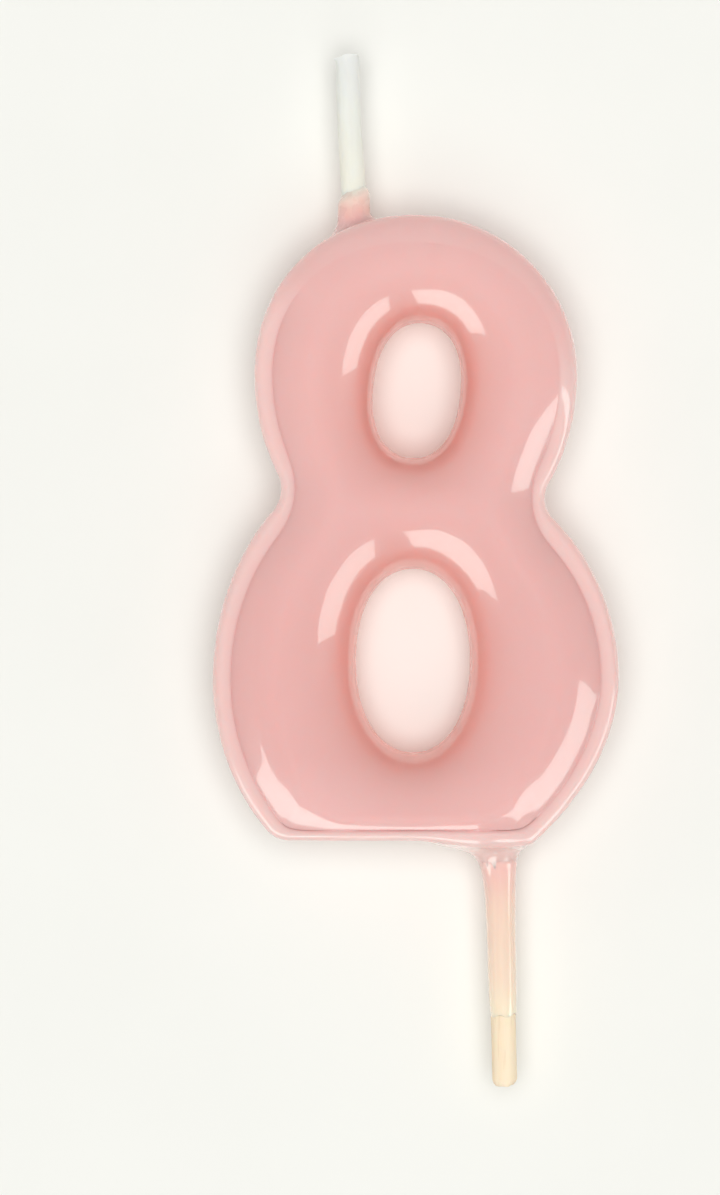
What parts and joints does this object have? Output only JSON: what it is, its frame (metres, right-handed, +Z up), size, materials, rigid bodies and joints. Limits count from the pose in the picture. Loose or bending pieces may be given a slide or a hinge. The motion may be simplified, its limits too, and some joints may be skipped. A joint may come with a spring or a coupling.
{
  "type": "number birthday candle",
  "caption": "Glossy pink wax numeral 8 with domed face, flat back, short waxed wick and a wooden pick that stands it in a cake.",
  "frame": {"origin": "on the wooden pick's axis, level with the numeral's flat underside, where the pick enters the cake's surface", "axes": "+Z up along the candle to the wick, +Y out of the flat back, the domed glossy face looks along -Y, +X to the right as seen from the front"},
  "size_m": [0.0316, 0.0089, 0.0804],
  "materials": {
    "dip_wax": "glossy dipped pink wax",
    "core_wax": "moulded pale pink wax",
    "collar_wax": "thin pink dip wax, fading to white",
    "prime_wax": "smooth white priming wax",
    "cotton": "plaited cotton yarn",
    "film_wax": "thin clear-pink wax over birch",
    "birch": "plain sawn birch"
  },
  "bodies": {
    "root": {"overdip_coat": "dip_wax", "wax_core": "core_wax", "wick_collar": "collar_wax", "wick_prime_wax": "prime_wax", "wick_yarn_1": "cotton", "wick_yarn_2": "cotton", "wick_yarn_3": "cotton", "pick_wax_film": "film_wax", "wooden_pick": "birch"}
  },
  "joints": []
}
